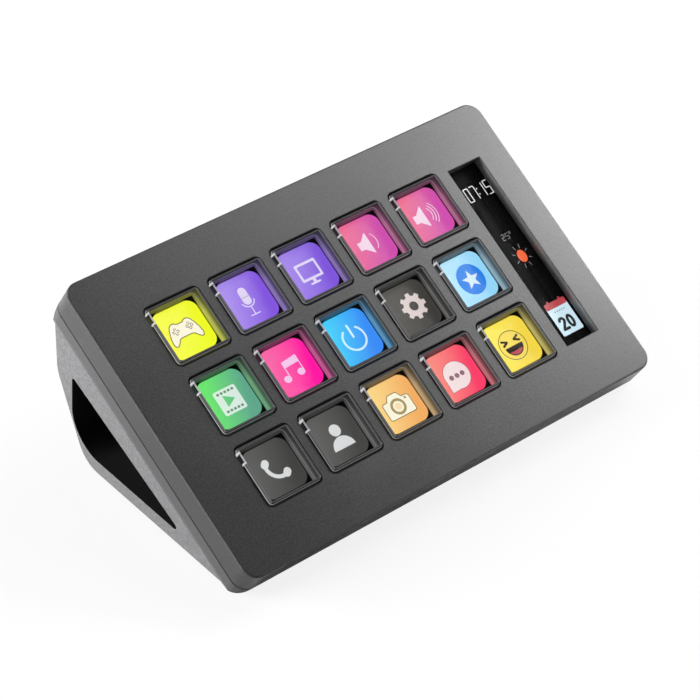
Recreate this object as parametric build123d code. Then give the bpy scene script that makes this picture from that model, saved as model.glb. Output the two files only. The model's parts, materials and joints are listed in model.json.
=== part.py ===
from build123d import *
from math import cos, radians, sin, sqrt, tan
import os

# A desk keypad: fifteen clear keys over one display, in a wedge-shaped housing.
# Millimetres. X is across, Y runs from the user to the back, Z is up, and the
# origin is on the desk under the middle of the housing.
# The tilted pieces are drawn in a panel frame first: its origin is the middle of
# the face, x is across, y runs up the slope and z points out of the face. Depths
# are measured from the face into the housing.

# Housing as a whole
face_tilt = 30.0
cover_width = 130.0
cover_height = 82.0
corner_radius = 4.0
front_lift = 8.55
back_overhang = 3.8
back_wall_foot = 22.8
rear_slope = 24.0
back_wall_round = 10.0
rear_corner_round = 8.0
toe_round = 4.5

# Front cover
cover_depth = 7.2
cover_wall = 2.0
face_thickness = 2.4
face_edge_round = 0.5
opening_edge = 0.15
seam_gap = 0.25

# Keys
key_columns = 5
key_rows = 3
left_margin = 14.8
key_web_x = 2.8
key_web_y = 3.5
key_opening_radius = 1.3
key_gap = 0.3
key_rise = 0.8
key_edge_round = 0.6
key_body_below_face = 5.0
key_travel = 0.5
key_end_gap = 0.1
key_flange_reach = 0.6
key_flange_thickness = 0.6
key_notch_length = 2.4
key_notch_depth = 0.6
key_notch_from_top = 1.4
running_gap = 0.05

# Strip of display at the right of the keys
strip_web = 3.6
strip_width = 10.75
strip_height = 53.7
strip_right_margin = 8.65
strip_top_margin = 14.3
strip_recess = 3.0
strip_rim = 1.2

# Membrane, contact sheet and ribs between the keys
collar_wall = 0.5
membrane_thickness = 0.4
membrane_border = 3.0
contact_thickness = 0.3
rib_width = 1.2

# Display
glass_thickness = 1.4
backlight_thickness = 1.65
display_offset = 0.3
display_boss_gap = 0.3
carrier_thickness = 1.0
carrier_corner_radius = 0.5
carrier_window_margin = 12.5
ribbon_thickness = 0.3
ribbon_bend_gap = 1.5
display_ribbon_width = 14.0
key_ribbon_width = 6.0
ribbon_spacing = 3.0
ribbon_standoff_gap = 1.0

# Main board and what stands on it
standoff_height = 1.75
standoff_radius = 2.0
board_margin_x = 20.0
board_margin_y = 19.5
board_x = -6.0
board_y = 0.5
board_thickness = 1.6
board_hole_inset = 3.0
board_corner_radius = 1.5
connector_height = 1.2
connector_depth = 4.0
connector_margin = 1.5
jumper_socket_height = 1.5
jumper_socket_depth = 3.0
processor_width = 10.0
processor_thickness = 1.0
processor_x = -8.0
processor_y = 2.0
memory_width = 6.0
memory_height = 5.0
memory_thickness = 0.9
memory_x = -24.0
memory_y = 4.0
regulator_width = 4.0
regulator_height = 3.0
regulator_thickness = 1.0
regulator_x = 18.0
regulator_y = 8.0
inductor_width = 5.0
inductor_thickness = 1.5
inductor_x = 26.0
inductor_y = 6.0

# Rear housing
housing_wall = 2.4
lip_height = 1.5
lip_thickness = 1.0
lip_gap = 0.1
cheek_depth = 11.3
cheek_step = 0.4
cheek_step_run = 1.0
cheek_draft = 1.0
cheek_edge_round = 0.8
tunnel_top_wall = 6.65
tunnel_low_wall = 5.4
base_wall = 4.3
tunnel_roof_gap = 0.9
tunnel_roof_angle = 25.6
tunnel_top_round = 0.8
tunnel_rear_round = 10.0
tunnel_tip_round = 0.85

# Screws
screw_radius = 0.95
screw_hole_radius = 1.0
screw_head_radius = 1.75
screw_head_height = 1.2
screw_length = 6.0
screw_well_gap = 0.2
recess_radius = 0.85
recess_depth = 0.7
boss_radius = 2.2
boss_gap = 0.15
post_radius = 4.0
post_thickness = 0.95
small_screw_length = 3.0
small_head_radius = 1.5
small_head_height = 0.9

# USB socket in the back wall
socket_width = 8.94
socket_height = 3.26
socket_length = 7.3
socket_wall = 0.3
socket_tongue_thickness = 0.7
socket_tongue_width = 6.7
socket_tongue_length = 5.2
socket_back_wall = 1.2
socket_below_edge = 15.75
socket_hole_gap = 0.25
usb_board_width = 20.0
usb_board_thickness = 1.0
usb_board_end_gap = 0.3
usb_board_front_reach = 9.2
usb_screw_x = 7.6
usb_screw_from_back = 6.0
usb_post_width = 4.0
jumper_width = 6.0
jumper_thickness = 0.5
jumper_land = 2.6
jumper_bend_gap = 0.4

# Rubber feet
foot_length = 22.0
foot_width = 7.0
foot_thickness = 1.8
foot_proud = 0.8
foot_gap = 0.1
foot_inset_x = 8.0
front_foot_inset = 8.5
rear_foot_inset = 8.0

# Places worked out from the sizes above
tilt_cos = cos(radians(face_tilt))
tilt_sin = sin(radians(face_tilt))
front_reach = tilt_cos * (cover_height / 2 - face_edge_round) - tilt_sin * face_edge_round + face_edge_round
back_reach = tilt_cos * cover_height / 2 + back_overhang
face_y = (front_reach - back_reach) / 2
face_z = foot_proud + front_lift + tilt_sin * cover_height / 2
back_y = face_y + back_reach
base_z = foot_proud
panel = Location((0, face_y, face_z), (face_tilt, 0, 0))

keys_width = cover_width - left_margin - strip_web - strip_width - strip_right_margin
key_opening = (keys_width - (key_columns - 1) * key_web_x) / key_columns
key_pitch_x = key_opening + key_web_x
key_pitch_y = key_opening + key_web_y
first_key_x = -cover_width / 2 + left_margin + key_opening / 2
first_key_y = (key_rows - 1) * key_pitch_y / 2
strip_x = cover_width / 2 - strip_right_margin - strip_width / 2
strip_y = cover_height / 2 - strip_top_margin - strip_height / 2

key_body = key_opening - 2 * key_gap
key_flange = key_body + 2 * key_flange_reach
key_body_radius = key_opening_radius - key_gap
flange_top = face_thickness + running_gap
flange_bottom = flange_top + key_flange_thickness
display_depth = key_body_below_face + key_travel + key_end_gap
contact_top = display_depth - contact_thickness
membrane_top = contact_top - membrane_thickness
collar_outer = key_flange
collar_inner = key_flange - 2 * collar_wall

boss_x = cover_width / 2 - corner_radius
boss_y = cover_height / 2 - corner_radius
display_inset = (boss_radius + display_boss_gap) / sqrt(2)
display_width = 2 * (boss_x - display_inset - display_offset)
display_height = 2 * (boss_y - display_inset)
backlight_top = display_depth + glass_thickness
carrier_top = backlight_top + backlight_thickness
carrier_bottom = carrier_top + carrier_thickness
board_top = carrier_bottom + standoff_height
board_bottom = board_top + board_thickness
board_width = cover_width - 2 * board_margin_x
board_height = cover_height - 2 * board_margin_y
board_hole_x = board_width / 2 - board_hole_inset
board_hole_y = board_height / 2 - board_hole_inset
jumper_socket_y = board_height / 2 - connector_margin - jumper_socket_depth / 2
ribbon_depth = board_top - connector_height / 2
ribbon_bend_x = display_offset - display_width / 2 - ribbon_bend_gap
connector_x = board_x - board_hole_x + standoff_radius + connector_margin + connector_depth / 2
key_ribbon_y = board_y + board_hole_y - standoff_radius - ribbon_standoff_gap - key_ribbon_width / 2
display_ribbon_y = key_ribbon_y - key_ribbon_width / 2 - ribbon_spacing - display_ribbon_width / 2

seam_depth = cover_depth + seam_gap
boss_bottom = carrier_bottom - running_gap
screw_seat = carrier_bottom + post_thickness
far_depth = cover_height

socket_z = face_z + tilt_sin * cover_height / 2 - socket_below_edge
usb_board_top = socket_z - socket_height / 2
usb_board_back = back_y - housing_wall - usb_board_end_gap
usb_board_front = usb_board_back - usb_board_front_reach
usb_screw_y = back_y - housing_wall - usb_screw_from_back

key_places = {
    f"r{row + 1}c{column + 1}": (first_key_x + column * key_pitch_x, first_key_y - row * key_pitch_y)
    for row in range(key_rows)
    for column in range(key_columns)
}
keys_centre = (
    first_key_x + (key_columns - 1) * key_pitch_x / 2,
    first_key_y - (key_rows - 1) * key_pitch_y / 2,
)
corner_places = [(x, y) for x in (-boss_x, boss_x) for y in (-boss_y, boss_y)]
board_holes = [
    (board_x + x, board_y + y)
    for x in (-board_hole_x, board_hole_x)
    for y in (-board_hole_y, board_hole_y)
]


def to_world(y, depth):
    """World (y, z) of a point at panel height y and a depth below the face."""
    return (face_y + y * tilt_cos + depth * tilt_sin, face_z + y * tilt_sin - depth * tilt_cos)


def slab(width, height, top, bottom, radius=0.0, place=(0.0, 0.0)):
    """Plate in the panel frame between two depths, with upright corners rounded by radius."""
    outline = RectangleRounded(width, height, radius) if radius > 0 else Rectangle(width, height)
    return Pos(place[0], place[1], -bottom) * extrude(outline, bottom - top)


def peg(radius, top, bottom, place):
    """Round peg in the panel frame between two depths."""
    return Pos(place[0], place[1], -bottom) * extrude(Circle(radius), bottom - top)


def screw(head_radius, head_height, length):
    """Pan-head screw along Z: its head hangs below z = 0 and its shank points up."""
    head = Pos(0, 0, -head_height) * extrude(Circle(head_radius), head_height)
    recess = Pos(0, 0, -head_height) * extrude(RegularPolygon(recess_radius, 6), recess_depth * head_height)
    shank = extrude(Circle(screw_radius), length)
    return head - recess + shank


def across(profile, width):
    """Solid from a world (y, z) profile, centred on x = 0."""
    return extrude(Plane.YZ * profile, width / 2, both=True)


# Front cover: a thin-walled moulding with a window for each key and one for the strip.
# Ribs behind the face pass between the key flanges and hold the membrane down.
def front_cover():
    body = slab(cover_width, cover_height, 0, cover_depth, corner_radius)
    body = fillet(body.faces().sort_by(Axis.Z)[-1].edges(), face_edge_round)
    body -= slab(
        cover_width - 2 * cover_wall,
        cover_height - 2 * cover_wall,
        face_thickness,
        cover_depth,
        corner_radius - cover_wall,
    )
    rib_bottom = membrane_top - running_gap
    grid_width = key_columns * key_pitch_x
    grid_height = key_rows * key_pitch_y
    for column in range(key_columns + 1):
        x = first_key_x + (column - 0.5) * key_pitch_x
        body += slab(rib_width, grid_height + rib_width, face_thickness, rib_bottom, 0, (x, keys_centre[1]))
    for row in range(key_rows + 1):
        y = first_key_y - (row - 0.5) * key_pitch_y
        body += slab(grid_width + rib_width, rib_width, face_thickness, rib_bottom, 0, (keys_centre[0], y))
    body += slab(
        strip_width + 2 * strip_rim,
        strip_height + 2 * strip_rim,
        face_thickness,
        strip_recess,
        0,
        (strip_x, strip_y),
    )
    for place in corner_places:
        body += peg(boss_radius, face_thickness, boss_bottom, place)
        body -= peg(screw_hole_radius, screw_seat - screw_length - running_gap, boss_bottom, place)
    for place in key_places.values():
        body -= slab(key_opening, key_opening, 0, face_thickness, key_opening_radius, place)
    body -= slab(strip_width, strip_height, 0, strip_recess, 0, (strip_x, strip_y))
    face = body.faces().sort_by(Axis.Z)[-1]
    rims = [edge for wire in face.inner_wires() for edge in wire.edges()]
    return chamfer(rims, opening_edge)


# Key cap: a clear block with a flange that stops it under the face.
# Its left wall has a notch near the top, over the full height of the block.
def key_cap(place):
    block = slab(key_body, key_body, -key_rise, key_body_below_face, key_body_radius, place)
    block = fillet(block.faces().sort_by(Axis.Z)[-1].edges(), key_edge_round)
    block += slab(key_flange, key_flange, flange_top, flange_bottom, key_body_radius, place)
    notch_x = place[0] - key_body / 2
    notch_y = place[1] + key_body / 2 - key_notch_from_top - key_notch_length / 2
    notch = slab(2 * key_notch_depth, key_notch_length, -key_rise, face_thickness, 0, (notch_x, notch_y))
    return block - notch


# Strip window: a clear block behind the strip opening, seated on its rim and on the display.
def strip_window():
    width = strip_width + 2 * strip_rim
    height = strip_height + 2 * strip_rim
    return slab(width, height, strip_recess, display_depth - running_gap, 0, (strip_x, strip_y))


# Silicone membrane: a soft sheet with a square collar under each key's flange.
def silicone_membrane():
    height = (key_rows - 1) * key_pitch_y + key_flange + 2 * membrane_border
    left_edge = first_key_x - key_flange / 2 - membrane_border
    right_edge = strip_x - strip_width / 2 - strip_rim - running_gap
    middle = (left_edge + right_edge) / 2
    sheet = slab(right_edge - left_edge, height, membrane_top, contact_top, 0, (middle, keys_centre[1]))
    collar_top = flange_bottom + running_gap
    for place in key_places.values():
        sheet += slab(collar_outer, collar_outer, collar_top, contact_top, key_body_radius, place)
        sheet -= slab(collar_inner, collar_inner, collar_top, contact_top, key_body_radius, place)
    return sheet


# Contact sheet: a thin circuit on the display glass, open under each key.
# Its tail bends round the left end of the display to the main board.
def contact_sheet():
    left_edge = display_offset - display_width / 2 + ribbon_bend_gap
    right_edge = strip_x - strip_width / 2 - strip_rim - running_gap
    height = (key_rows - 1) * key_pitch_y + key_flange + 2 * membrane_border
    middle = (left_edge + right_edge) / 2
    sheet = slab(right_edge - left_edge, height, contact_top, display_depth, 0, (middle, keys_centre[1]))
    for place in key_places.values():
        sheet -= slab(collar_inner, collar_inner, contact_top, display_depth, key_body_radius, place)
    return sheet + ribbon(left_edge, contact_top + ribbon_thickness / 2, key_ribbon_width, key_ribbon_y)


def ribbon(start_x, start_depth, width, y):
    """Flat cable from a depth at start_x, round the display's left end and in to a connector."""
    path = Polyline(
        (start_x, -start_depth),
        (ribbon_bend_x, -start_depth),
        (ribbon_bend_x, -ribbon_depth),
        (connector_x - connector_depth / 2, -ribbon_depth),
    )
    section = trace(path, ribbon_thickness)
    return Pos(0, y, 0) * extrude(Plane.XZ * section, width / 2, both=True)


# Display: glass in front, a backlight tray behind it and a flat cable from its left end.
def lcd_glass():
    return slab(display_width, display_height, display_depth, backlight_top, 0, (display_offset, 0))


def lcd_backlight():
    return slab(display_width, display_height, backlight_top, carrier_top, 0, (display_offset, 0))


def display_flex():
    start_x = display_offset - display_width / 2
    return ribbon(start_x, backlight_top + ribbon_thickness / 2, display_ribbon_width, display_ribbon_y)


# Carrier: a sheet-metal plate behind the display, clamped at its corners by the rear housing.
def display_carrier():
    middle = (display_offset, 0)
    plate = slab(display_width, display_height, carrier_top, carrier_bottom, carrier_corner_radius, middle)
    window_width = board_width / 2 - board_hole_inset
    window_height = board_height - 2 * carrier_window_margin
    window_x = window_width / 2 + board_hole_inset
    for x in (-window_x, window_x):
        place = (board_x + x, board_y)
        plate -= slab(window_width, window_height, carrier_top, carrier_bottom, corner_radius, place)
    return plate


def board_standoffs():
    posts = []
    for place in board_holes:
        post = peg(standoff_radius, carrier_bottom, board_top, place)
        posts.append(post - peg(screw_hole_radius, carrier_bottom, board_top, place))
    return Compound(posts)


# Main board: a circuit board on four standoffs, with its chips and connectors.
def main_board():
    board = slab(board_width, board_height, board_top, board_bottom, board_corner_radius, (board_x, board_y))
    for place in board_holes:
        board -= peg(screw_hole_radius, board_top, board_bottom, place)
    return board


def board_screws():
    one = screw(small_head_radius, small_head_height, small_screw_length)
    return Compound([Pos(x, y, -board_bottom) * one for x, y in board_holes])


def chip(width, height, thickness, x, y):
    """Component on the main board's rear side, placed from the board's middle."""
    return slab(width, height, board_bottom, board_bottom + thickness, 0, (board_x + x, board_y + y))


def processor():
    return chip(processor_width, processor_width, processor_thickness, processor_x, processor_y)


def memory_chip():
    return chip(memory_width, memory_height, memory_thickness, memory_x, memory_y)


def voltage_regulator():
    return chip(regulator_width, regulator_height, regulator_thickness, regulator_x, regulator_y)


def inductor():
    return chip(inductor_width, inductor_width, inductor_thickness, inductor_x, inductor_y)


def front_connector(width, y):
    """Flat-cable connector on the main board's front side, at its left end."""
    return slab(connector_depth, width, board_top - connector_height, board_top, 0, (connector_x, y))


def display_connector():
    return front_connector(display_ribbon_width + 2 * connector_margin, display_ribbon_y)


def key_connector():
    return front_connector(key_ribbon_width + 2 * running_gap, key_ribbon_y)


def jumper_socket():
    width = jumper_width + 2 * connector_margin
    return chip(width, jumper_socket_depth, jumper_socket_height, -board_x, jumper_socket_y)


# Rear housing: the wedge-shaped shell under the cover. A tunnel runs right through it
# from cheek to cheek, and the space above the tunnel holds the boards.
def housing_profile():
    front_top = to_world(-cover_height / 2, 0)
    toe_y = front_top[0] + front_lift * tan(radians(face_tilt))
    slope_y = back_y - back_wall_foot * tan(radians(rear_slope))
    top_z = face_z + cover_height
    far_top_y = front_top[0] - (top_z - front_top[1]) * tan(radians(face_tilt))
    outline = Polyline(
        (toe_y, base_z),
        (slope_y, base_z),
        (back_y, base_z + back_wall_foot),
        (back_y, top_z),
        (far_top_y, top_z),
        close=True,
    )
    profile = make_face(outline)
    profile = fillet(profile.vertices().sort_by_distance((toe_y, base_z))[0], toe_round)
    profile = fillet(profile.vertices().sort_by_distance((slope_y, base_z))[0], rear_corner_round)
    return fillet(profile.vertices().sort_by_distance((back_y, base_z + back_wall_foot))[0], back_wall_round)


def tunnel_top():
    """World (y, z) of the tunnel's top corner. Its roof clears the main board's front edge."""
    board_edge = to_world(board_y - board_height / 2, board_bottom)
    roof_slope = radians(tunnel_roof_angle)
    top_y = back_y - tunnel_top_wall
    drop = (housing_wall + tunnel_roof_gap) / cos(roof_slope)
    return (top_y, board_edge[1] + (top_y - board_edge[0]) * tan(roof_slope) - drop)


def tunnel_profile():
    floor_z = base_z + base_wall
    top = tunnel_top()
    rear = (back_y - tunnel_low_wall, floor_z)
    tip = (top[0] - (top[1] - floor_z) / tan(radians(tunnel_roof_angle)), floor_z)
    profile = make_face(Polyline(top, rear, tip, close=True))
    profile = fillet(profile.vertices().sort_by_distance(rear)[0], tunnel_rear_round)
    profile = fillet(profile.vertices().sort_by_distance(tip)[0], tunnel_tip_round)
    return fillet(profile.vertices().sort_by_distance(top)[0], tunnel_top_round)


def cheek_cut(side):
    """What is taken off one side below the shoulder, in the panel frame."""
    half = cover_width / 2
    foot = cheek_step + (far_depth - cheek_depth) * tan(radians(cheek_draft))
    section = make_face(
        Polyline(
            (half + cheek_step, -cheek_depth),
            (half, -cheek_depth),
            (half - cheek_step, -cheek_depth - cheek_step_run),
            (half - foot, -far_depth),
            (half + cheek_step, -far_depth),
            close=True,
        )
    )
    cut = extrude(Plane.XZ * section, far_depth, both=True)
    return cut if side > 0 else mirror(cut, Plane.YZ)


def socket_outline(gap):
    """The USB socket's rounded outline, seen from the back."""
    height = socket_height + 2 * gap
    return RectangleRounded(socket_width + 2 * gap, height, height / 2 - socket_wall / 2)


def along_socket(sketch, start_y, end_y):
    """Solid along Y from a sketch centred on the socket's axis."""
    frame = Plane(origin=(0, start_y, socket_z), x_dir=(-1, 0, 0), z_dir=(0, 1, 0))
    return extrude(frame * sketch, end_y - start_y)


def housing_envelope(outer):
    """The rear housing's outside: the cover's outline carried down, cut to the side profile."""
    shell = panel * slab(cover_width, cover_height, seam_depth, far_depth, corner_radius)
    shell = shell & across(outer, cover_width)
    for side in (-1, 1):
        shell -= panel * cheek_cut(side)
    by_side = shell.faces().sort_by(Axis.X)
    cheeks = [max(group, key=lambda face: face.area) for group in (by_side[:3], by_side[-3:])]
    rims = []
    for cheek in cheeks:
        shoulder_length = max(edge.length for edge in cheek.edges())
        rims += [edge for edge in cheek.edges() if edge.length < shoulder_length]
    return fillet(rims, cheek_edge_round)


def rear_housing():
    outer = housing_profile()
    tunnel = tunnel_profile()
    envelope = housing_envelope(outer)
    shell = envelope
    inner_width = cover_width - 2 * housing_wall
    inner_height = cover_height - 2 * housing_wall
    inner_radius = corner_radius - housing_wall
    chamber_profile = offset(outer, -housing_wall) - offset(tunnel, housing_wall)
    chamber = across(chamber_profile, cover_width) & panel * slab(
        inner_width, inner_height, 0, far_depth, inner_radius
    )
    shell -= chamber
    shell -= across(tunnel, 2 * cover_width)
    lip_outer = cover_wall + lip_gap
    lip_inner = lip_outer + lip_thickness
    lip_top = seam_depth - lip_height
    lip_foot = seam_depth + lip_thickness
    lip = slab(
        cover_width - 2 * lip_outer,
        cover_height - 2 * lip_outer,
        lip_top,
        lip_foot,
        corner_radius - cover_wall,
    )
    lip -= slab(cover_width - 2 * lip_inner, cover_height - 2 * lip_inner, lip_top, lip_foot)
    shell += panel * lip
    for place in corner_places:
        shell += (panel * peg(post_radius, carrier_bottom, far_depth, place)) & envelope
        shell -= panel * peg(boss_radius + boss_gap, 0, carrier_bottom, place)
        shell -= panel * peg(screw_hole_radius + running_gap, carrier_bottom, far_depth, place)
        shell -= panel * peg(screw_head_radius + screw_well_gap, screw_seat, far_depth, place)
    for x in (-usb_screw_x, usb_screw_x):
        shell += usb_post(x, tunnel)
    shell -= along_socket(socket_outline(socket_hole_gap), back_y - 2 * housing_wall, back_y + housing_wall)
    for place in foot_places():
        shell -= foot_block(place, foot_gap)
    return shell


def usb_post(x, tunnel):
    """Square post from the tunnel's roof up to the USB board."""
    top_z = usb_board_top - usb_board_thickness
    height = top_z - tunnel_top()[1] + housing_wall
    post = Pos(x, usb_screw_y, top_z - height) * extrude(Rectangle(usb_post_width, usb_post_width), height)
    hole = extrude(Circle(screw_hole_radius), small_screw_length)
    hole = Pos(x, usb_screw_y, top_z - small_screw_length) * hole
    return post - across(tunnel, cover_width) - hole


# USB board: a small flat board behind the back wall that carries the socket.
def usb_board():
    middle = (usb_board_front + usb_board_back) / 2
    board = extrude(Rectangle(usb_board_width, usb_board_back - usb_board_front), usb_board_thickness)
    board = Pos(0, middle, usb_board_top - usb_board_thickness) * board
    for x in (-usb_screw_x, usb_screw_x):
        hole = extrude(Circle(screw_hole_radius), usb_board_thickness)
        board -= Pos(x, usb_screw_y, usb_board_top - usb_board_thickness) * hole
    return board


def usb_socket():
    shell = along_socket(socket_outline(0), back_y - socket_length, back_y)
    hollow = offset(socket_outline(0), -socket_wall)
    shell -= along_socket(hollow, back_y - socket_length + socket_back_wall, back_y)
    tongue = Rectangle(socket_tongue_width, socket_tongue_thickness)
    tongue_start = back_y - socket_length + socket_back_wall / 2
    return shell + along_socket(tongue, tongue_start, tongue_start + socket_tongue_length)


def usb_board_screws():
    one = Rot(180, 0, 0) * screw(small_head_radius, small_head_height, small_screw_length - running_gap)
    return Compound([Pos(x, usb_screw_y, usb_board_top) * one for x in (-usb_screw_x, usb_screw_x)])


def usb_jumper():
    """Flat wires from the USB board's top, down past its front edge and in to the main board."""
    top_z = usb_board_top + jumper_thickness / 2
    drop_y = usb_board_front - jumper_bend_gap
    socket_depth = board_bottom + jumper_socket_height / 2
    end = to_world(board_y + jumper_socket_y + jumper_socket_depth / 2, socket_depth)
    corner_z = end[1] + (drop_y - end[0]) * tan(radians(face_tilt))
    path = Polyline((usb_board_front + jumper_land, top_z), (drop_y, top_z), (drop_y, corner_z), end)
    return across(trace(path, jumper_thickness), jumper_width)


def housing_screws():
    one = screw(screw_head_radius, screw_head_height, screw_length)
    return panel * Compound([Pos(x, y, -screw_seat) * one for x, y in corner_places])


# Feet: rubber pads let into the base, two at the front and two at the rear.
def foot_places():
    slope_y = back_y - back_wall_foot * tan(radians(rear_slope))
    front_y = face_y - front_reach + front_foot_inset + foot_width / 2
    rear_y = slope_y - rear_foot_inset - foot_width / 2
    foot_x = cover_width / 2 - foot_inset_x - foot_length / 2
    return [(x, y) for x in (-foot_x, foot_x) for y in (front_y, rear_y)]


def foot_block(place, gap):
    outline = SlotOverall(foot_length + 2 * gap, foot_width + 2 * gap)
    return Pos(place[0], place[1], 0) * extrude(outline, foot_thickness)


def feet(which):
    return Compound([foot_block(place, 0) for place in foot_places()[which::2]])


def on_panel(shape):
    return panel * shape


def write(name, shape):
    export_step(shape, f"parts/{name}.step")


os.makedirs("parts", exist_ok=True)
write("front_cover", on_panel(front_cover()))
for name, place in key_places.items():
    write(f"key_cap_{name}", on_panel(key_cap(place)))
write("strip_window", on_panel(strip_window()))
write("silicone_membrane", on_panel(silicone_membrane()))
write("contact_sheet", on_panel(contact_sheet()))
write("lcd_glass", on_panel(lcd_glass()))
write("lcd_backlight", on_panel(lcd_backlight()))
write("display_flex", on_panel(display_flex()))
write("display_carrier", on_panel(display_carrier()))
write("board_standoffs", on_panel(board_standoffs()))
write("main_board", on_panel(main_board()))
write("board_screws", on_panel(board_screws()))
write("processor", on_panel(processor()))
write("memory_chip", on_panel(memory_chip()))
write("voltage_regulator", on_panel(voltage_regulator()))
write("inductor", on_panel(inductor()))
write("display_connector", on_panel(display_connector()))
write("key_connector", on_panel(key_connector()))
write("jumper_socket", on_panel(jumper_socket()))
write("rear_housing", rear_housing())
write("usb_board", usb_board())
write("usb_socket", usb_socket())
write("usb_board_screws", usb_board_screws())
write("usb_jumper", usb_jumper())
write("housing_screws", housing_screws())
write("front_feet", feet(0))
write("rear_feet", feet(1))
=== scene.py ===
import json
from math import atan2, cos, radians, sin

import bmesh
import bpy
from mathutils import Matrix, Vector


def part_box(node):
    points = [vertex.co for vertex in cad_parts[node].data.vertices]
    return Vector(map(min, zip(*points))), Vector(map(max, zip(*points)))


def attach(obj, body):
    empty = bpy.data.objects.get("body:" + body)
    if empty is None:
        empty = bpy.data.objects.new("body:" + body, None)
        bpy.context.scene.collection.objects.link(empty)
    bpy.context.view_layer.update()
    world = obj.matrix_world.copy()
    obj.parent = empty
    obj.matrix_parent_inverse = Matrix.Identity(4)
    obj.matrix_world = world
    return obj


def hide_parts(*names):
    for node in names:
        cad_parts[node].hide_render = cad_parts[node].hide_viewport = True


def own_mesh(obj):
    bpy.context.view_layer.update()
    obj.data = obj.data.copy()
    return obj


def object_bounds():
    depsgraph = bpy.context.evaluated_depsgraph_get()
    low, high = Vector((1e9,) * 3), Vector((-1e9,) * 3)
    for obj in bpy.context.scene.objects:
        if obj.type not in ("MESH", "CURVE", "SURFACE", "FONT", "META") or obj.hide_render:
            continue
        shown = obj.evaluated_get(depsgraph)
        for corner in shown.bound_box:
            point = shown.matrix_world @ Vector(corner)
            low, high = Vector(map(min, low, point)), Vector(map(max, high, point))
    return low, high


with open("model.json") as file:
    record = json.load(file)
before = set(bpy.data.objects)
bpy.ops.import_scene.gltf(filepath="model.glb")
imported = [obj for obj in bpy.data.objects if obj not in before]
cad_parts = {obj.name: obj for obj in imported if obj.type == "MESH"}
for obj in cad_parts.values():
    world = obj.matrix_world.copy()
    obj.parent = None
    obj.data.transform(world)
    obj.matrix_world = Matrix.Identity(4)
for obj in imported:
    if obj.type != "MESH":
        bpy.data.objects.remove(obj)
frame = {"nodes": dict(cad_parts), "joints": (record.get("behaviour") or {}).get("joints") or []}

cad_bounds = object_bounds()
nodes = frame["nodes"]


# The front cover is a thin moulding in dark grey plastic. Its face has a fine spark-eroded
# grain with a satin sheen, and the wall of the strip's recess that faces the keys has painted
# light: it is painted paler.
def shade(red, green, blue):
    """Linear colour from the 0 to 255 values that a paint chart gives."""
    parts = [value / 255.0 for value in (red, green, blue)]
    return tuple(p / 12.92 if p <= 0.04045 else ((p + 0.055) / 1.055) ** 2.4 for p in parts) + (1.0,)


def find_node(tree, kind):
    return next(node for node in tree.nodes if node.type == kind)


def new_finish(name):
    """Plain node material, with its node tree and its Principled shader."""
    finish = bpy.data.materials.new(name)
    finish.use_nodes = True
    tree = finish.node_tree
    return finish, tree, find_node(tree, "BSDF_PRINCIPLED")


def add_node(tree, kind, **settings):
    node = tree.nodes.new(kind)
    for key, value in settings.items():
        if key in node.inputs:
            node.inputs[key].default_value = value
        else:
            setattr(node, key, value)
    return node


def own_place(tree):
    """The point of the surface, in the piece's own coordinates, in metres."""
    return add_node(tree, "ShaderNodeTexCoord").outputs["Object"]


def true_normal(tree):
    return add_node(tree, "ShaderNodeNewGeometry").outputs["True Normal"]


def grain_noise(tree, scale, detail=2.0, roughness=0.5):
    """Noise over the piece's own coordinates, at a scale in cells per metre."""
    noise = add_node(tree, "ShaderNodeTexNoise", Scale=scale, Detail=detail, Roughness=roughness)
    tree.links.new(own_place(tree), noise.inputs["Vector"])
    return noise.outputs["Fac"]


def colour_steps(tree, source, stops):
    """Colour ramp driven by a value, from (position, colour) stops."""
    ramp = add_node(tree, "ShaderNodeValToRGB")
    while len(ramp.color_ramp.elements) < len(stops):
        ramp.color_ramp.elements.new(0.5)
    for element, (position, colour) in zip(ramp.color_ramp.elements, stops):
        element.position = position
        element.color = colour
    tree.links.new(source, ramp.inputs["Fac"])
    return ramp.outputs["Color"]


def colour_shader(tree, shader, source, stops):
    tree.links.new(colour_steps(tree, source, stops), shader.inputs["Base Color"])


def add_bump(tree, shader, height, strength, distance):
    bump = add_node(tree, "ShaderNodeBump", Strength=strength, Distance=distance)
    tree.links.new(height, bump.inputs["Height"])
    tree.links.new(bump.outputs["Normal"], shader.inputs["Normal"])


def stretch(tree, source, to=(0.0, 1.0), start=(0.0, 1.0), clamp=True):
    """A value moved from one range to another."""
    spread = add_node(tree, "ShaderNodeMapRange", clamp=clamp)
    spread.inputs["From Min"].default_value, spread.inputs["From Max"].default_value = start
    spread.inputs["To Min"].default_value, spread.inputs["To Max"].default_value = to
    tree.links.new(source, spread.inputs["Value"])
    return spread.outputs["Result"]


def vary_roughness(tree, shader, source, low, high):
    tree.links.new(stretch(tree, source, to=(low, high)), shader.inputs["Roughness"])


def project(tree, source, direction):
    """Length of a vector along a direction."""
    along = add_node(tree, "ShaderNodeVectorMath", operation="DOT_PRODUCT")
    along.inputs[1].default_value = direction
    tree.links.new(source, along.inputs[0])
    return along.outputs["Value"]


def compute(tree, operation, *values):
    """A math node on values that are plain numbers or come from other nodes."""
    step = add_node(tree, "ShaderNodeMath", operation=operation)
    for socket, value in zip(step.inputs, values):
        if isinstance(value, (int, float)):
            socket.default_value = value
        else:
            tree.links.new(value, socket)
    return step.outputs["Value"]


def all_of(tree, *tests):
    """1 where every test is 1, and 0 where any of them is 0."""
    result = tests[0]
    for test in tests[1:]:
        result = compute(tree, "MULTIPLY", result, test)
    return result


def overlay(tree, share, under, over):
    """Colour that goes from one to another with a share. Either may be fixed or a node's."""
    mix = add_node(tree, "ShaderNodeMixRGB")
    tree.links.new(share, mix.inputs["Fac"])
    for socket, colour in ((mix.inputs["Color1"], under), (mix.inputs["Color2"], over)):
        if isinstance(colour, tuple):
            socket.default_value = colour
        else:
            tree.links.new(colour, socket)
    return mix.outputs["Color"]


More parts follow.
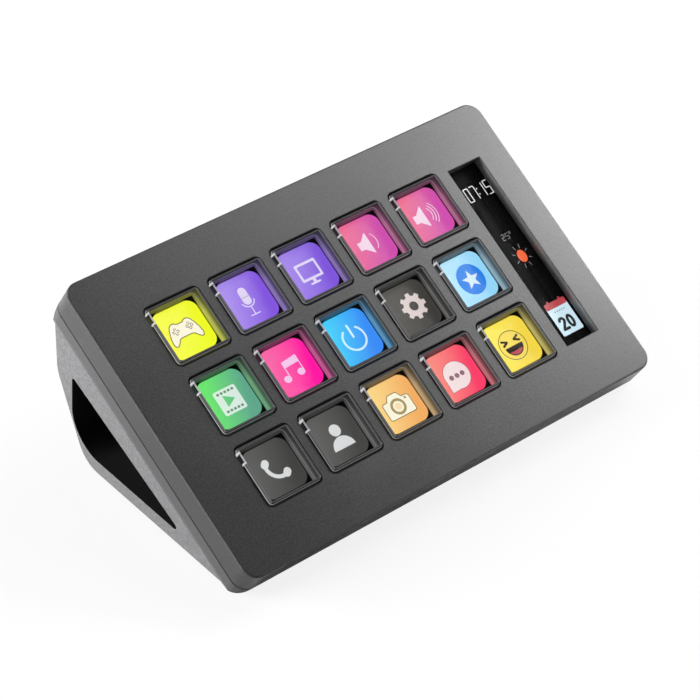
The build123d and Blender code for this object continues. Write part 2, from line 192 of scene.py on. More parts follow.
def overpaint(tree, shader, share, over):
    """Paints over what the shader's colour is made of, where the share is 1."""
    colour = shader.inputs["Base Color"]
    tree.links.new(overlay(tree, share, colour.links[0].from_socket, over), colour)


def finish_node(name, finish):
    """Gives a carried-over solid its finish in every slot."""
    mesh = nodes[name].data
    if not mesh.materials:
        mesh.materials.append(finish)
    for index in range(len(mesh.materials)):
        mesh.materials[index] = finish


def grained_plastic(name, dark, pale, low_rough, high_rough):
    """Satin moulded plastic with a spark-eroded grain of about a third of a millimetre."""
    finish, tree, shader = new_finish(name)
    grain = grain_noise(tree, 3000.0, 2.0, 0.6)
    colour_shader(tree, shader, grain, [(0.35, dark), (0.65, pale)])
    add_bump(tree, shader, grain, 0.35, 0.00004)
    vary_roughness(tree, shader, grain_noise(tree, 60.0), low_rough, high_rough)
    return finish, tree, shader


mm = 0.001
cover_dark = shade(14, 14, 15)
cover_pale = shade(42, 42, 43)
recess_wall_painted_light = shade(150, 150, 151)
recess_wall_from = 53.0
faces_left = -0.9
across_keypad = Vector((1.0, 0.0, 0.0))

cover_finish, cover_tree, cover_shader = grained_plastic("satin_cover", cover_dark, cover_pale, 0.29, 0.35)
sideways = project(cover_tree, true_normal(cover_tree), across_keypad)
rightward = project(cover_tree, own_place(cover_tree), across_keypad)
# Painted light: the wall of the strip's recess that faces the keys is painted paler.
on_recess_wall = all_of(
    cover_tree,
    compute(cover_tree, "LESS_THAN", sideways, faces_left),
    compute(cover_tree, "GREATER_THAN", rightward, recess_wall_from * mm),
)
overpaint(cover_tree, cover_shader, on_recess_wall, recess_wall_painted_light)
finish_node("front_cover", cover_finish)


# The strip window is a block of clear acrylic with a polished top. It is seated on the rim of
# its opening and on the display behind it.
def clear_acrylic(name):
    finish, tree, shader = new_finish(name)
    shader.inputs["Base Color"].default_value = (0.98, 0.985, 0.985, 1.0)
    shader.inputs["Transmission Weight"].default_value = 1.0
    shader.inputs["IOR"].default_value = 1.49
    vary_roughness(tree, shader, grain_noise(tree, 120.0), 0.0, 0.02)
    add_bump(tree, shader, grain_noise(tree, 350.0), 0.04, 0.00005)
    return finish, tree, shader


window_acrylic, _, _ = clear_acrylic("window_acrylic")
finish_node("strip_window", window_acrylic)


# The contact sheet is a printed film in black ink, and the flat cables are amber film
# with fine copper lines that run along them.
def printed_film(name, ground, line, lines_per_metre):
    finish, tree, shader = new_finish(name)
    wave = add_node(tree, "ShaderNodeTexWave", Scale=lines_per_metre, Distortion=0.0)
    wave.bands_direction = "Y"
    tree.links.new(own_place(tree), wave.inputs["Vector"])
    colour_shader(tree, shader, wave.outputs["Fac"], [(0.55, ground), (0.65, line)])
    vary_roughness(tree, shader, wave.outputs["Fac"], 0.45, 0.3)
    add_bump(tree, shader, wave.outputs["Fac"], 0.2, 0.00002)
    return finish


contact_film = printed_film("contact_film", shade(14, 14, 16), shade(24, 24, 26), 300.0)
amber_film = printed_film("amber_film", shade(190, 120, 40), shade(120, 70, 25), 600.0)
finish_node("contact_sheet", contact_film)
finish_node("display_flex", amber_film)
finish_node("usb_jumper", amber_film)


# The display is black glass in front of a bright steel tray, and a steel carrier behind them
# holds both. Only the lit pictures show through the keys and the strip window.
display_glass, tree, shader = new_finish("display_glass")
haze = grain_noise(tree, 200.0)
colour_shader(tree, shader, haze, [(0.3, shade(15, 15, 16)), (0.7, shade(22, 22, 24))])
vary_roughness(tree, shader, haze, 0.3, 0.4)
shader.inputs["Specular IOR Level"].default_value = 0.05
finish_node("lcd_glass", display_glass)


def brushed_metal(name, dark, pale, rough):
    """Sheet or turned metal with fine directional scratches."""
    finish, tree, shader = new_finish(name)
    draw_out = add_node(tree, "ShaderNodeMapping")
    draw_out.inputs["Scale"].default_value = (1.0, 18.0, 18.0)
    scratches = add_node(tree, "ShaderNodeTexNoise", Scale=700.0, Detail=4.0, Roughness=0.7)
    tree.links.new(own_place(tree), draw_out.inputs["Vector"])
    tree.links.new(draw_out.outputs["Vector"], scratches.inputs["Vector"])
    colour_shader(tree, shader, scratches.outputs["Fac"], [(0.3, dark), (0.7, pale)])
    shader.inputs["Metallic"].default_value = 1.0
    vary_roughness(tree, shader, scratches.outputs["Fac"], rough - 0.08, rough + 0.1)
    add_bump(tree, shader, scratches.outputs["Fac"], 0.15, 0.00002)
    return finish


tray_steel = brushed_metal("tray_steel", shade(150, 150, 152), shade(195, 195, 198), 0.35)
finish_node("lcd_backlight", tray_steel)
finish_node("display_carrier", tray_steel)


# Each lit picture is a bright tile on the display, with a plain sign in its middle and a faint
# halo round it. All are drawn here in millimetres from the tile's middle, and lie a hair off
# the glass. The tile and the sign are a little off the key's middle, as the panel shows them.
cover_width = 130.0
cover_height = 82.0
left_margin = 14.8
key_opening = 16.2
key_rows = 3
key_columns = 5
key_pitch_x = 19.0
key_pitch_y = 19.7
display_depth = 5.6
glass_thickness = 1.4
display_offset = 0.3
tile_size = 13.0
tile_radius = 2.6
tile_glow = 1.12
halo_size = 14.1
halo_radius = 4.4
halo_glow = 0.16
tile_lift = 0.02
layer_step = 0.004
tile_shift_x = 0.55
tile_shift_y = 0.27
sign_shift_x = 0.4
sign_shift_y = 0.55

# The keys are pressed straight into the face, so a key's joint tells how the face leans.
press = Vector(frame["joints"][0]["axis"])
glass_low, glass_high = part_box("lcd_glass")
turn = Matrix.Rotation(atan2(press.y, -press.z), 4, "X")
glass_offset = Vector((display_offset, 0.0, -(display_depth + glass_thickness / 2))) * mm
panel = Matrix.Translation((glass_low + glass_high) / 2 - turn @ glass_offset) @ turn
panel_x, panel_y, panel_z = (panel.to_3x3() @ Vector(axis) for axis in ((1, 0, 0), (0, 1, 0), (0, 0, 1)))
first_x = -cover_width / 2 + left_margin + key_opening / 2
first_y = (key_rows - 1) * key_pitch_y / 2
key_places = {
    f"r{row + 1}c{column + 1}": (first_x + column * key_pitch_x, first_y - row * key_pitch_y)
    for row in range(key_rows)
    for column in range(key_columns)
}


def on_panel(x, y, depth):
    """Point in metres from a place on the face and a depth behind it, in millimetres."""
    return panel @ (Vector((x, y, -depth)) * mm)


def bend(cx, cy, radius, start, end, steps=20):
    """Points on an arc between two angles in degrees, counted anticlockwise from the right."""
    turns = [radians(start + (end - start) * step / steps) for step in range(steps + 1)]
    return [(cx + radius * cos(a), cy + radius * sin(a)) for a in turns]


def disc(cx, cy, radius):
    return [bend(cx, cy, radius, 0, 360, 40)[:-1]]


def oval(cx, cy, width, height):
    return [[(cx + width / 2 * x, cy + height / 2 * y) for x, y in disc(0, 0, 1)[0]]]


def ring(cx, cy, inner, outer, start=0.0, end=360.0, steps=40):
    inside = bend(cx, cy, inner, start, end, steps)
    outside = bend(cx, cy, outer, start, end, steps)
    return [[inside[i], outside[i], outside[i + 1], inside[i + 1]] for i in range(steps)]


def plate(cx, cy, width, height, radius):
    """Rounded rectangle."""
    w = width / 2 - radius
    h = height / 2 - radius
    points = []
    for sx, sy, start in ((1, 1, 0), (-1, 1, 90), (-1, -1, 180), (1, -1, 270)):
        points += bend(cx + sx * w, cy + sy * h, radius, start, start + 90, 8)
    return [points]


def stroke(points, width):
    """A line with round joints and ends."""
    shapes = []
    for (x0, y0), (x1, y1) in zip(points, points[1:]):
        side = Vector((y0 - y1, x1 - x0)).normalized() * width / 2
        shapes.append([(x0 + side.x, y0 + side.y), (x0 - side.x, y0 - side.y),
                       (x1 - side.x, y1 - side.y), (x1 + side.x, y1 + side.y)])
    for x, y in points:
        shapes += disc(x, y, width / 2)
    return shapes


def mirrored(points):
    """Points of a half outline, then the same ones on the other side in reverse."""
    return points + [(-x, y) for x, y in reversed(points)]


def moved(shapes, dx, dy):
    return [[(x + dx, y + dy) for x, y in shape] for shape in shapes]


def lit_ink(name, low, high, glow):
    """Backlit colour that runs from one corner of its tile to the other, with a faint pixel grain."""
    finish, tree, shader = new_finish(name)
    place = add_node(tree, "ShaderNodeUVMap")
    place.uv_map = "tile"
    across = project(tree, place.outputs["UV"], (0.75, -0.25, 0.0))
    mix = compute(tree, "MULTIPLY_ADD", grain_noise(tree, 7000.0, 1.0), 0.06, across)
    tones = colour_steps(tree, mix, [(0.0, shade(*low)), (0.6, shade(*high))])
    tree.links.new(tones, shader.inputs["Emission Color"])
    shader.inputs["Emission Strength"].default_value = glow
    shader.inputs["Base Color"].default_value = (0.01, 0.01, 0.01, 1.0)
    shader.inputs["Roughness"].default_value = 0.25
    return finish


def housing_piece(name, form, finishes):
    """Turns a form into a piece that rides on the housing."""
    mesh = bpy.data.meshes.new(name)
    form.to_mesh(mesh)
    form.free()
    for finish in finishes:
        mesh.materials.append(finish)
    piece = bpy.data.objects.new(name, mesh)
    bpy.context.scene.collection.objects.link(piece)
    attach(piece, "housing")
    return piece


def flat_piece(name, layers, middle, size):
    """One mesh of flat shapes on the display: layers of (shapes, finish), each a hair above the last."""
    form = bmesh.new()
    tile = form.loops.layers.uv.new("tile")
    finishes = []
    for level, (shapes, finish) in enumerate(layers):
        if finish not in finishes:
            finishes.append(finish)
        depth = display_depth - tile_lift - level * layer_step
        for points in shapes:
            corners = [form.verts.new(on_panel(middle[0] + x, middle[1] + y, depth)) for x, y in points]
            face = form.faces.new(corners)
            face.material_index = finishes.index(finish)
            for loop, (x, y) in zip(face.loops, points):
                loop[tile].uv = (x / size + 0.5, y / size + 0.5)
            face.normal_update()
            if face.normal.dot(panel_z) < 0:
                face.normal_flip()
    housing_piece(name, form, finishes)


def gamepad():
    half = [(0.0, 1.8), (-0.9, 1.85), (-1.5, 2.3), (-2.4, 2.3), (-3.1, 1.75), (-3.7, 0.5), (-4.2, -1.0)]
    half += [(-4.4, -2.4), (-4.15, -3.25), (-3.55, -3.35), (-2.9, -2.85), (-2.2, -2.0), (-1.6, -1.75)]
    half += [(0.0, -1.75)]
    outline = mirrored(half)
    rim = stroke(outline + outline[:1], 0.24)
    cross = plate(-2.05, 0.2, 1.9, 0.62, 0.15) + plate(-2.05, 0.2, 0.62, 1.9, 0.15)
    inset = plate(-2.05, 0.2, 1.6, 0.32, 0.1) + plate(-2.05, 0.2, 0.32, 1.6, 0.1)
    buttons = []
    for x, y in ((2.0, 0.95), (2.0, -0.35), (1.35, 0.3), (2.65, 0.3)):
        buttons += ring(x, y, 0.24, 0.4, 0, 360, 12)
    return [([outline], "cream"), (rim + cross + buttons, "olive"), (inset, "cream")]


def microphone():
    capsule = plate(0.1, 0.9, 2.3, 4.7, 1.1)
    cradle = ring(0.1, -0.1, 1.75, 2.05, 195, 345, 24)
    stand = stroke([(0.1, -2.1), (0.1, -4.2)], 0.28) + stroke([(-1.15, -4.25), (1.4, -4.25)], 0.28)
    return [(capsule + cradle + stand, "lilac"), (stroke([(-0.85, 0.6), (1.05, 0.6)], 0.14), "grey")]


def monitor():
    screen = plate(0.3, -0.2, 6.4, 4.9, 0.4)
    stand = plate(0.3, -3.1, 0.9, 1.2, 0.1) + plate(0.3, -3.7, 3.0, 0.5, 0.2)
    return [(screen + stand, "lilac"), (plate(0.3, -0.2, 5.1, 3.6, 0.2), "ground")]


def speaker(radii, shift):
    horn = [(-2.7, 0.5), (-1.4, 0.5), (0.6, 2.3), (0.85, 2.3)]
    horn += [(0.85, -3.5), (0.6, -3.5), (-1.4, -1.75), (-2.7, -1.75)]
    waves = []
    for radius in radii:
        waves += ring(-0.2, -0.6, radius, radius + 0.2, -45, 45, 24)
    return [(moved([horn], shift, 0) + waves, "blush")]


def film():
    holes = []
    for column in range(5):
        x = -1.95 + column * 1.05
        for y in (1.75, -2.95):
            holes += plate(x, y, 0.72, 0.62, 0.2)
    arrow = [(-1.1, 1.15), (1.7, -0.5), (-1.1, -2.0)]
    return [(plate(0.13, -0.6, 6.45, 6.45, 0.5), "mint"), (holes, "moss"), ([arrow], "ground")]


def notes():
    beam = [(-1.65, 1.9), (2.85, 2.4), (2.85, 0.5), (-1.65, 0.25)]
    stems = stroke([(-1.6, 1.5), (-1.6, -2.5)], 0.24) + stroke([(2.75, 2.0), (2.75, -2.1)], 0.24)
    heads = oval(-2.45, -2.45, 2.1, 1.8) + oval(1.85, -2.1, 2.1, 1.8)
    return [([beam] + stems + heads, "pink")]


def power():
    arc = ring(0.5, -0.75, 2.85, 3.4, 124, 416, 44)
    return [(arc + stroke([(0.5, -0.3), (0.5, 2.9)], 0.62), "ice")]


def gear():
    teeth = []
    for tooth in range(8):
        angle = radians(tooth * 45)
        across = Vector((-sin(angle), cos(angle))) * 0.75
        out = Vector((cos(angle), sin(angle)))
        teeth.append([tuple(out * 2.2 + across), tuple(out * 2.2 - across),
                      tuple(out * 3.6 - across * 0.75), tuple(out * 3.6 + across * 0.75)])
    return [(moved(disc(0, 0, 2.8) + teeth, 1.1, -0.2), "rose"), (disc(1.1, -0.2, 1.25), "ground")]


def star():
    points = []
    for corner in range(10):
        radius = 2.7 if corner % 2 == 0 else 1.15
        angle = radians(90 + corner * 36)
        points.append((0.85 + radius * cos(angle), -0.75 + radius * sin(angle)))
    return [(oval(0.85, -0.65, 7.9, 8.6), "blue"), ([points], "frost")]


def handset():
    grip = ring(1.35, 0.5, 2.75, 3.75, 165, 285, 30)
    ear = stroke([(-1.75, 1.35), (-1.35, 1.75)], 1.9)
    mouth = stroke([(2.3, -2.6), (2.7, -2.2)], 1.9)
    return [(grip + ear + mouth, "ash")]


def person():
    shoulders = [(0.5 + 3.12 * x, -3.75 + 3.0888 * y) for x, y in bend(0, 0, 1, 180, 0, 28)]
    return [(disc(0.5, 1.1, 1.55) + [shoulders], "ash")]


def camera_sign():
    outline = [(-3.75, -3.2), (-3.75, 0.6), (-3.35, 1.1), (-2.1, 1.1), (-1.35, 2.35), (-0.9, 2.6)]
    outline += [(1.2, 2.6), (1.65, 2.35), (2.4, 1.1), (3.8, 1.1), (4.3, 0.6), (4.3, -3.2)]
    outline += [(3.9, -3.6), (-3.35, -3.6)]
    rim = stroke(outline + outline[:1], 0.2)
    lens = ring(0.15, -0.9, 1.45, 2.15, 0, 360, 36) + disc(3.1, 0.4, 0.34)
    return [([outline], "cream"), (rim, "olive"), (lens, "tan"), (disc(0.15, -0.9, 0.95), "warm")]


def bubble():
    tail = [(-3.35, -1.2), (-3.45, -4.4), (-0.6, -4.25)]
    rim = disc(0.25, -0.75, 3.82) + stroke(tail, 0.3)
    dots = [shape for x in (-1.55, 0.2, 1.9) for shape in disc(x, -0.85, 0.66)]
    return [(rim, "rust"), ([tail] + disc(0.25, -0.75, 3.66), "shell"), (dots, "plum")]


def laugh():
    eyes = stroke([(-2.45, 1.25), (-1.05, 0.6), (-2.4, -0.05)], 0.6)
    eyes += stroke([(2.65, 1.25), (1.25, 0.6), (2.6, -0.05)], 0.6)
    mouth = bend(0.15, -0.8, 2.75, 180, 360, 24)
    tongue = bend(0.15, -0.85, 2.4, 213, 327, 20)
    return [(disc(0.15, -0.65, 3.95), "amber"), (ring(0.15, -0.65, 3.84, 4.06, 0, 360, 48), "olive"),
            (eyes + [mouth], "dark"), ([tongue], "red")]


ink_tones = {
    "cream": ((248, 242, 215), (250, 244, 222), 1.1),
    "ash": ((228, 230, 230), (222, 224, 224), 1.0),
    "rose": ((232, 218, 214), (224, 208, 206), 1.0),
    "ice": ((190, 240, 250), (205, 232, 252), 1.1),
    "pink": ((252, 208, 244), (252, 202, 240), 1.0),
    "blush": ((250, 222, 238), (248, 216, 238), 1.0),
    "lilac": ((232, 220, 248), (228, 216, 250), 1.0),
    "mint": ((226, 248, 230), (222, 240, 232), 1.0),
    "frost": ((218, 242, 250), (212, 238, 250), 1.0),
    "shell": ((252, 234, 232), (250, 226, 230), 1.0),
    "grey": ((150, 150, 152), (140, 140, 142), 1.0),
    "dark": ((20, 8, 4), (20, 8, 4), 1.0),
    "black": ((30, 32, 34), (34, 36, 38), 1.0),
    "olive": ((120, 110, 50), (118, 100, 44), 1.0),
    "moss": ((106, 150, 116), (104, 146, 118), 1.0),
    "tan": ((176, 158, 106), (172, 152, 100), 1.0),
    "warm": ((250, 228, 180), (250, 226, 176), 1.05),
    "rust": ((200, 110, 108), (196, 84, 100), 1.0),
    "plum": ((150, 108, 122), (146, 96, 116), 1.0),
    "blue": ((30, 132, 236), (36, 126, 228), 1.1),
    "amber": ((250, 224, 90), (240, 210, 84), 1.1),
    "red": ((196, 76, 84), (188, 70, 80), 1.0),
    "sun": ((240, 120, 72), (236, 104, 58), 1.1),
}
inks = {name: lit_ink(f"{name}_light", *tones) for name, tones in ink_tones.items()}
pictures = {
    "r1c1": (gamepad(), (244, 246, 70), (236, 247, 36)),
    "r1c2": (microphone(), (164, 136, 230), (130, 84, 220)),
    "r1c3": (monitor(), (158, 128, 228), (125, 84, 217)),
    "r1c4": (speaker((2.95,), 0.0), (232, 104, 146), (204, 78, 172)),
    "r1c5": (speaker((2.3, 3.1, 3.9), -0.75), (232, 106, 142), (206, 78, 172)),
    "r2c1": (film(), (104, 226, 108), (94, 164, 138)),
    "r2c2": (notes(), (246, 96, 162), (254, 20, 160)),
    "r2c3": (power(), (64, 200, 248), (58, 138, 243)),
    "r2c4": (gear(), (88, 86, 82), (60, 58, 55)),
    "r2c5": (star(), (178, 226, 250), (146, 212, 246)),
    "r3c1": (handset(), (90, 90, 88), (64, 64, 62)),
    "r3c2": (person(), (92, 92, 90), (68, 68, 66)),
    "r3c3": (camera_sign(), (248, 210, 130), (240, 172, 98)),
    "r3c4": (bubble(), (246, 134, 124), (248, 62, 104)),
    "r3c5": (laugh(), (250, 230, 84), (242, 212, 72)),
}
for name, middle in key_places.items():
    sign, low, high = pictures[name]
    ground = lit_ink(f"ground_{name}", low, high, tile_glow)
    halo = lit_ink(f"halo_{name}", low, high, halo_glow)
    layers = [
        (plate(tile_shift_x, tile_shift_y, halo_size, halo_size, halo_radius), halo),
        (plate(tile_shift_x, tile_shift_y, tile_size, tile_size, tile_radius), ground),
    ]
    # What a sign leaves open or draws as ground shows the tile's own colour.
    for shapes, ink in sign:
        layers.append((moved(shapes, sign_shift_x, sign_shift_y), inks.get(ink, ground)))
    flat_piece(f"picture_{name}", layers, middle, tile_size)


# The membrane between the keys and the display is moulded black silicone, matt with a dusty
# bloom: one sheet with a window and a soft square collar for each key. Each collar is a piece
# of its own here; the real collar gives under its key by the key's travel.
def matt_rubber(name, dark, pale):
    finish, tree, shader = new_finish(name)
    bloom = grain_noise(tree, 900.0, 4.0, 0.7)
    colour_shader(tree, shader, bloom, [(0.35, dark), (0.75, pale)])
    vary_roughness(tree, shader, bloom, 0.7, 0.92)
    add_bump(tree, shader, bloom, 0.3, 0.00003)
    return finish


black_silicone = matt_rubber("black_silicone", shade(16, 16, 17), shade(30, 30, 31))
collar_size = 16.8
collar_wall = 0.5
collar_radius = 1.0
collar_top = 3.1
sheet_top = 4.9
sheet_foot = 5.3
sheet_border = 3.0
sheet_right = 44.35


def silicone_piece(name, form):
    bmesh.ops.recalc_face_normals(form, faces=form.faces[:])
    piece = housing_piece(name, form, [black_silicone])
    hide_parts("silicone_membrane")
    return piece


def sheet_cuts(first, pitch, count, low, high):
    """Lines across the sheet: its one end, both sides of each window, and its other end."""
    cuts = [low]
    for index in range(count):
        middle = first + index * pitch
        cuts += [middle - collar_size / 2, middle + collar_size / 2]
    return cuts + [high]


cuts_x = sheet_cuts(first_x, key_pitch_x, key_columns, first_x - collar_size / 2 - sheet_border, sheet_right)
sheet_end = first_y + collar_size / 2 + sheet_border
cuts_y = sheet_cuts(-first_y, key_pitch_y, key_rows, -sheet_end, sheet_end)
form = bmesh.new()
corners = {}
for i, x in enumerate(cuts_x):
    for j, y in enumerate(cuts_y):
        corners[i, j] = form.verts.new(on_panel(x, y, sheet_top))
for i in range(len(cuts_x) - 1):
    for j in range(len(cuts_y) - 1):
        if i % 2 == 0 or j % 2 == 0:
            form.faces.new((corners[i, j], corners[i + 1, j], corners[i + 1, j + 1], corners[i, j + 1]))
lower = bmesh.ops.extrude_face_region(form, geom=form.faces[:], use_keep_orig=True)
moving = [item for item in lower["geom"] if isinstance(item, bmesh.types.BMVert)]
bmesh.ops.translate(form, verts=moving, vec=panel_z * (sheet_top - sheet_foot) * mm)
silicone_piece("membrane_sheet", form)

collar_inside = collar_size - 2 * collar_wall
collar_section = (
    (collar_size, collar_top),
    (collar_inside, collar_top),
    (collar_inside, sheet_foot),
    (collar_size, sheet_foot),
)
for name, (x, y) in key_places.items():
    form = bmesh.new()
    rings = []
    for width, depth in collar_section:
        outline = plate(x, y, width, width, collar_radius)[0]
        rings.append([form.verts.new(on_panel(*point, depth)) for point in outline])
    for first, second in zip(rings, rings[1:] + rings[:1]):
        for i in range(len(first)):
            j = (i + 1) % len(first)
            form.faces.new((first[i], first[j], second[j], second[i]))
    collar = silicone_piece(f"membrane_collar_{name}", form)
    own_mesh(collar)


# The key caps are clear acrylic blocks with polished tops. Their walls and rounded edges are
# left satin by the mould. A glow of the picture beside them is painted into the walls, fading to
# painted shade towards the far corner, and the edge is painted as a grey frame with painted
# light lines. A notch in the left wall has painted glints at its ends.
key_gap = 0.3
key_rise = 0.8
key_body_below_face = 5.0
key_notch_depth = 0.6
key_notch_length = 2.4
key_notch_from_top = 1.4
notch_margin = 0.1
glint_length = 0.45
key_body = key_opening - 2 * key_gap
half_body = key_body / 2
sole_rim = 0.75
top_line_at = 7.0
top_line_width = 0.2
# How much of the picture's light, from 0 to 255, goes into the glow painted on the walls and
# into the painted bright line, and the grey that is added to it.
wall_light_share = 0.6
wall_light_added = 52
line_light_share = 0.3
line_light_added = 44
# Shares of the block's height, from its sole, and of the way from its middle to a wall.
foot_line_below = 0.035
rim_below = 0.5
lit_below = 0.78
edge_above = 0.86
top_line_above = 0.95
near_edge_from = -0.9
fade_from = 0.3
fade_to = 1.15
# How squarely a surface faces up: a wall is 0 and the polished top is 1.
wall_below = 0.5
flat_from = 0.9995
# Painted glow in the side walls and in the far walls, as shares of the picture's light by height.
painted_glow_fading = [(0.0, 0.95), (0.12, 0.84), (0.3, 0.64), (0.55, 0.42), (1.0, 0.3)]
far_painted_glow_fading = [(0.0, 0.57), (0.03, 0.36), (1.0, 0.28)]
# Painted light on the rounded left and front edges, by how squarely they face up.
left_edge_painted_light = [(0.1, shade(118, 118, 120)), (0.35, shade(78, 78, 79))]
front_edge_painted_light = [(0.1, shade(118, 118, 120)), (0.3, shade(26, 26, 27))]
# The grey edge frame, with painted light lines at its outer and inner borders.
edge_tones_with_painted_lines = [
    (0.12, shade(120, 120, 121)),
    (0.3, shade(44, 44, 45)),
    (0.8, shade(48, 48, 49)),
    (0.93, shade(70, 70, 71)),
]
body_tone = shade(24, 24, 25)
corner_painted_shade = shade(34, 34, 36)
foot_painted_light = shade(150, 150, 152)
painted_glint_tone = shade(196, 196, 199)


def blend_shaders(tree, share, under, over):
    mix = add_node(tree, "ShaderNodeMixShader")
    for socket, source in zip(mix.inputs, (share, under, over)):
        tree.links.new(source, socket)
    return mix.outputs["Shader"]


def dress_cap(name, middle, light):
    """Clear block over a picture whose light, from 0 to 255, is painted as a glow into the block's walls."""
    finish, tree, clear = clear_acrylic(f"acrylic_{name}")
    place = own_place(tree)
    centre = on_panel(*middle, 0)
    level = centre.dot(panel_z)
    off_centre = []
    for way in (panel_x, panel_y):
        reach = (centre.dot(way), centre.dot(way) + half_body * mm)
        off_centre.append(stretch(tree, project(tree, place, way), start=reach, clamp=False))
    across, along = off_centre
    block = (level - key_body_below_face * mm, level + key_rise * mm)
    height = stretch(tree, project(tree, place, panel_z), start=block)
    upright = compute(tree, "ABSOLUTE", project(tree, true_normal(tree), panel_z))
    far_across = compute(tree, "ABSOLUTE", across)
    far_along = compute(tree, "ABSOLUTE", along)
    on_side = compute(tree, "GREATER_THAN", far_across, far_along)
    high = compute(tree, "GREATER_THAN", height, edge_above)
    flat = compute(tree, "GREATER_THAN", upright, flat_from)

    # The walls' emission colour is painted light: a glow of the picture that fades with height.
    glow = [wall_light_share * part + wall_light_added for part in light]
    beside, above = (
        colour_steps(tree, height, [(at, shade(*(part * share for part in glow))) for at, share in steps])
        for steps in (painted_glow_fading, far_painted_glow_fading)
    )
    # Painted shade: the painted glow darkens towards the far corner of each wall.
    up_side = compute(tree, "MULTIPLY", on_side, along)
    along_end = compute(tree, "MULTIPLY", compute(tree, "SUBTRACT", 1.0, on_side), across)
    to_corner = stretch(tree, compute(tree, "SUBTRACT", up_side, along_end), start=(fade_from, fade_to))
    walls = overlay(tree, to_corner, overlay(tree, on_side, above, beside), corner_painted_shade)
    # Painted light: a bright line along the foot of the walls.
    at_foot = all_of(tree, compute(tree, "LESS_THAN", height, foot_line_below),
                     compute(tree, "LESS_THAN", upright, wall_below))
    walls = overlay(tree, at_foot, walls, foot_painted_light)

    # Painted glints: white emission at both ends of the notch in the left wall.
    notch_middle = 1.0 - (key_notch_from_top + key_notch_length / 2) / half_body
    off_middle = compute(tree, "ABSOLUTE", compute(tree, "SUBTRACT", along, notch_middle))
    off_end = compute(tree, "SUBTRACT", off_middle, (key_notch_length + glint_length) / key_body)
    off_end = compute(tree, "ABSOLUTE", off_end)
    notch_end = all_of(
        tree,
        compute(tree, "LESS_THAN", across, (key_notch_depth + notch_margin) / half_body - 1.0),
        compute(tree, "LESS_THAN", off_end, glint_length / key_body),
    )
    walls = overlay(tree, notch_end, walls, painted_glint_tone)

    # Painted highlight: a bright line on the polished top near the right edge.
    off_line = compute(tree, "ABSOLUTE", compute(tree, "SUBTRACT", across, top_line_at / half_body))
    on_line = all_of(tree, compute(tree, "LESS_THAN", off_line, top_line_width / key_body),
                     compute(tree, "GREATER_THAN", height, top_line_above), flat)
    line_light = shade(*(line_light_share * part + line_light_added for part in glow))
    walls = overlay(tree, on_line, walls, line_light)

    # Painted light: the left and front edges above the face are lit by emission.
    near_edge = all_of(
        tree,
        compute(tree, "LESS_THAN", compute(tree, "MINIMUM", across, along), near_edge_from),
        high,
        compute(tree, "LESS_THAN", upright, flat_from),
    )
    near_edge = compute(tree, "GREATER_THAN", compute(tree, "SUBTRACT", near_edge, notch_end), 0.5)
    left_light = colour_steps(tree, upright, left_edge_painted_light)
    front_light = colour_steps(tree, upright, front_edge_painted_light)
    walls = overlay(tree, near_edge, walls, overlay(tree, on_side, front_light, left_light))
    # Emission strength: where the painted glow, glints, bright line and edge light show.
    lit = compute(tree, "LESS_THAN", height, lit_below)
    for test in (notch_end, on_line, near_edge):
        lit = compute(tree, "MAXIMUM", lit, test)

    # The satin walls and edges carry all the painted light as emission.
    satin = add_node(tree, "ShaderNodeBsdfPrincipled", Roughness=0.6)
    satin.inputs["Specular IOR Level"].default_value = 0.03
    edge = colour_steps(tree, upright, edge_tones_with_painted_lines)
    tree.links.new(overlay(tree, high, body_tone, edge), satin.inputs["Base Color"])
    tree.links.new(walls, satin.inputs["Emission Color"])
    tree.links.new(lit, satin.inputs["Emission Strength"])

    from_middle = compute(tree, "MAXIMUM", far_across, far_along)
    on_rim = all_of(tree, compute(tree, "GREATER_THAN", from_middle, 1.0 - sole_rim / half_body),
                    compute(tree, "LESS_THAN", height, rim_below))
    seen_through = compute(tree, "SUBTRACT", compute(tree, "SUBTRACT", flat, on_rim), on_line)
    surface = blend_shaders(tree, seen_through, satin.outputs["BSDF"], clear.outputs["BSDF"])
    tree.links.new(surface, find_node(tree, "OUTPUT_MATERIAL").inputs["Surface"])
    finish_node(f"key_cap_{name}", finish)


for name, middle in key_places.items():
    _, low, high = pictures[name]
    dress_cap(name, middle, [(a + b) / 2 for a, b in zip(low, high)])


# Round each key opening the face of the cover turns over into the gap. Shade is painted on that
# lip in front of the key and behind it, so it is far darker than the face. The rounded edges of
# the cover are duller than its face.
lip_x = 0.12
lip_y = 0.42
lip_corner = 1.7
lip_painted_shade = shade(26, 26, 27)
edge_roughness = 0.8
edge_from = 0.08
edge_to = 0.985

keys_middle = on_panel(first_x + key_pitch_x * (key_columns - 1) / 2, 0.0, 0.0)
place = own_place(cover_tree)
key_lines = ((panel_x, key_pitch_x, key_columns, lip_x), (panel_y, key_pitch_y, key_rows, lip_y))
squares = []
in_lip = []
for way, pitch, count, lip in key_lines:
    offset = compute(cover_tree, "SUBTRACT", project(cover_tree, place, way), keys_middle.dot(way))
    from_key = compute(cover_tree, "WRAP", offset, pitch / 2 * mm, -pitch / 2 * mm)
    beyond = compute(cover_tree, "ABSOLUTE", from_key)
    beyond = compute(cover_tree, "SUBTRACT", beyond, (key_opening / 2 + lip - lip_corner) * mm)
    beyond = compute(cover_tree, "MAXIMUM", beyond, 0.0)
    squares.append(compute(cover_tree, "MULTIPLY", beyond, beyond))
    offset = compute(cover_tree, "ABSOLUTE", offset)
    in_lip.append(compute(cover_tree, "LESS_THAN", offset, pitch * count / 2 * mm))
from_corner = compute(cover_tree, "ADD", *squares)
in_lip.append(compute(cover_tree, "LESS_THAN", from_corner, (lip_corner * mm) ** 2))
turned = compute(cover_tree, "ABSOLUTE", project(cover_tree, true_normal(cover_tree), panel_z))
